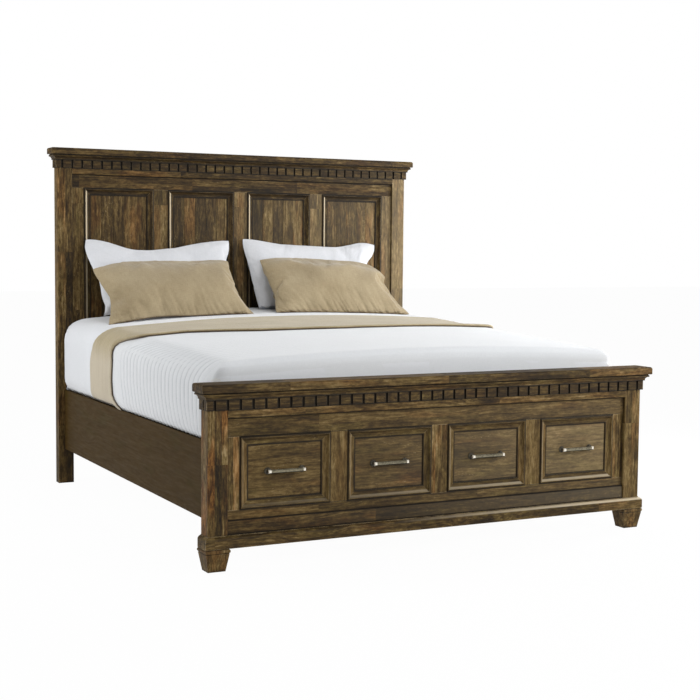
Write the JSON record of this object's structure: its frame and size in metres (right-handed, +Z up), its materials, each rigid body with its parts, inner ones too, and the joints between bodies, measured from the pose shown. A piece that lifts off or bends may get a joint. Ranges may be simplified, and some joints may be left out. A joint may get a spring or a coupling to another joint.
{
  "type": "storage bed",
  "caption": "Panelled king-size bed in weathered dark wood with storage drawers in the footboard, dentil cornices, mattress, ribbed coverlet and pillows.",
  "frame": {"origin": "middle of the overall footprint, on the floor", "axes": "+X across the bed towards its right side as seen from the footboard, +Y from the footboard to the headboard, +Z up"},
  "size_m": [2.122, 2.24, 1.731],
  "materials": {
    "stained_wood": "weathered dark brown stain, low sheen, worn pale edges",
    "plain_wood": "plain planed softwood, clear sealed",
    "slide_steel": "zinc plated",
    "bracket_steel": "black powder coat, satin",
    "pewter": "hammered antique pewter, dark in the hollows",
    "white_sheet": "smooth white cotton over the mattress",
    "white_coverlet": "thick ribbed white cotton",
    "tan_linen": "plain tan linen weave",
    "white_sham": "ribbed white cotton"
  },
  "bodies": {
    "root": {"blanket": "tan_linen", "centre_beam": "plain_wood", "coverlet": "white_coverlet", "drawer_bay_panels": "plain_wood", "footboard_base_moulding": "stained_wood", "footboard_cap": "stained_wood", "footboard_crown": "stained_wood", "footboard_dentils": "stained_wood", "footboard_fascia": "stained_wood", "footboard_feet": "stained_wood", "footboard_lower_board": "stained_wood", "footboard_post_left": "stained_wood", "footboard_post_right": "stained_wood", "footboard_rails": "stained_wood", "footboard_stiles": "stained_wood", "foundation": "white_sheet", "headboard_cap": "stained_wood", "headboard_crown": "stained_wood", "headboard_dentils": "stained_wood", "headboard_fascia": "stained_wood", "headboard_panels": "stained_wood", "headboard_post_left": "stained_wood", "headboard_post_right": "stained_wood", "headboard_rails": "stained_wood", "headboard_stiles": "stained_wood", "headboard_trim_rails": "stained_wood", "headboard_trim_stiles": "stained_wood", "mattress": "white_sheet", "pillow_left": "tan_linen", "pillow_right": "tan_linen", "rail_bolts": "slide_steel", "rail_brackets": "bracket_steel", "sham_left": "white_sham", "sham_right": "white_sham", "side_rail_left": "stained_wood", "side_rail_right": "stained_wood", "slat_ledgers": "plain_wood", "slats": "plain_wood", "slide_cabinet_members": "slide_steel", "support_legs": "plain_wood"},
    "drawer_left": {"drawer_front_left": "stained_wood", "drawer_trim_rails_left": "stained_wood", "drawer_trim_stiles_left": "stained_wood", "pull_bars_left": "pewter", "pull_posts_left": "pewter", "pull_screws_left": "slide_steel", "drawer_box_left": "plain_wood", "drawer_floor_left": "plain_wood", "drawer_slide_left": "slide_steel"},
    "slide_left": {"slide_middle_left": "slide_steel"},
    "drawer_right": {"drawer_front_right": "stained_wood", "drawer_trim_rails_right": "stained_wood", "drawer_trim_stiles_right": "stained_wood", "pull_bars_right": "pewter", "pull_posts_right": "pewter", "pull_screws_right": "slide_steel", "drawer_box_right": "plain_wood", "drawer_floor_right": "plain_wood", "drawer_slide_right": "slide_steel"},
    "slide_right": {"slide_middle_right": "slide_steel"}
  },
  "joints": [
    {"name": "drawer_left_slide", "type": "slide", "parent": "root", "child": "drawer_left", "axis": [0, -1, 0], "range_m": [0, 0.4]},
    {"name": "slide_left_extension", "type": "slide", "parent": "root", "child": "slide_left", "axis": [0, -1, 0], "range_m": [0, 0.2]},
    {"name": "drawer_right_slide", "type": "slide", "parent": "root", "child": "drawer_right", "axis": [0, -1, 0], "range_m": [0, 0.4]},
    {"name": "slide_right_extension", "type": "slide", "parent": "root", "child": "slide_right", "axis": [0, -1, 0], "range_m": [0, 0.2]}
  ],
  "couplings": [
    {"joint": "slide_left_extension", "follows": "drawer_left_slide", "ratio": 0.5},
    {"joint": "slide_right_extension", "follows": "drawer_right_slide", "ratio": 0.5}
  ]
}
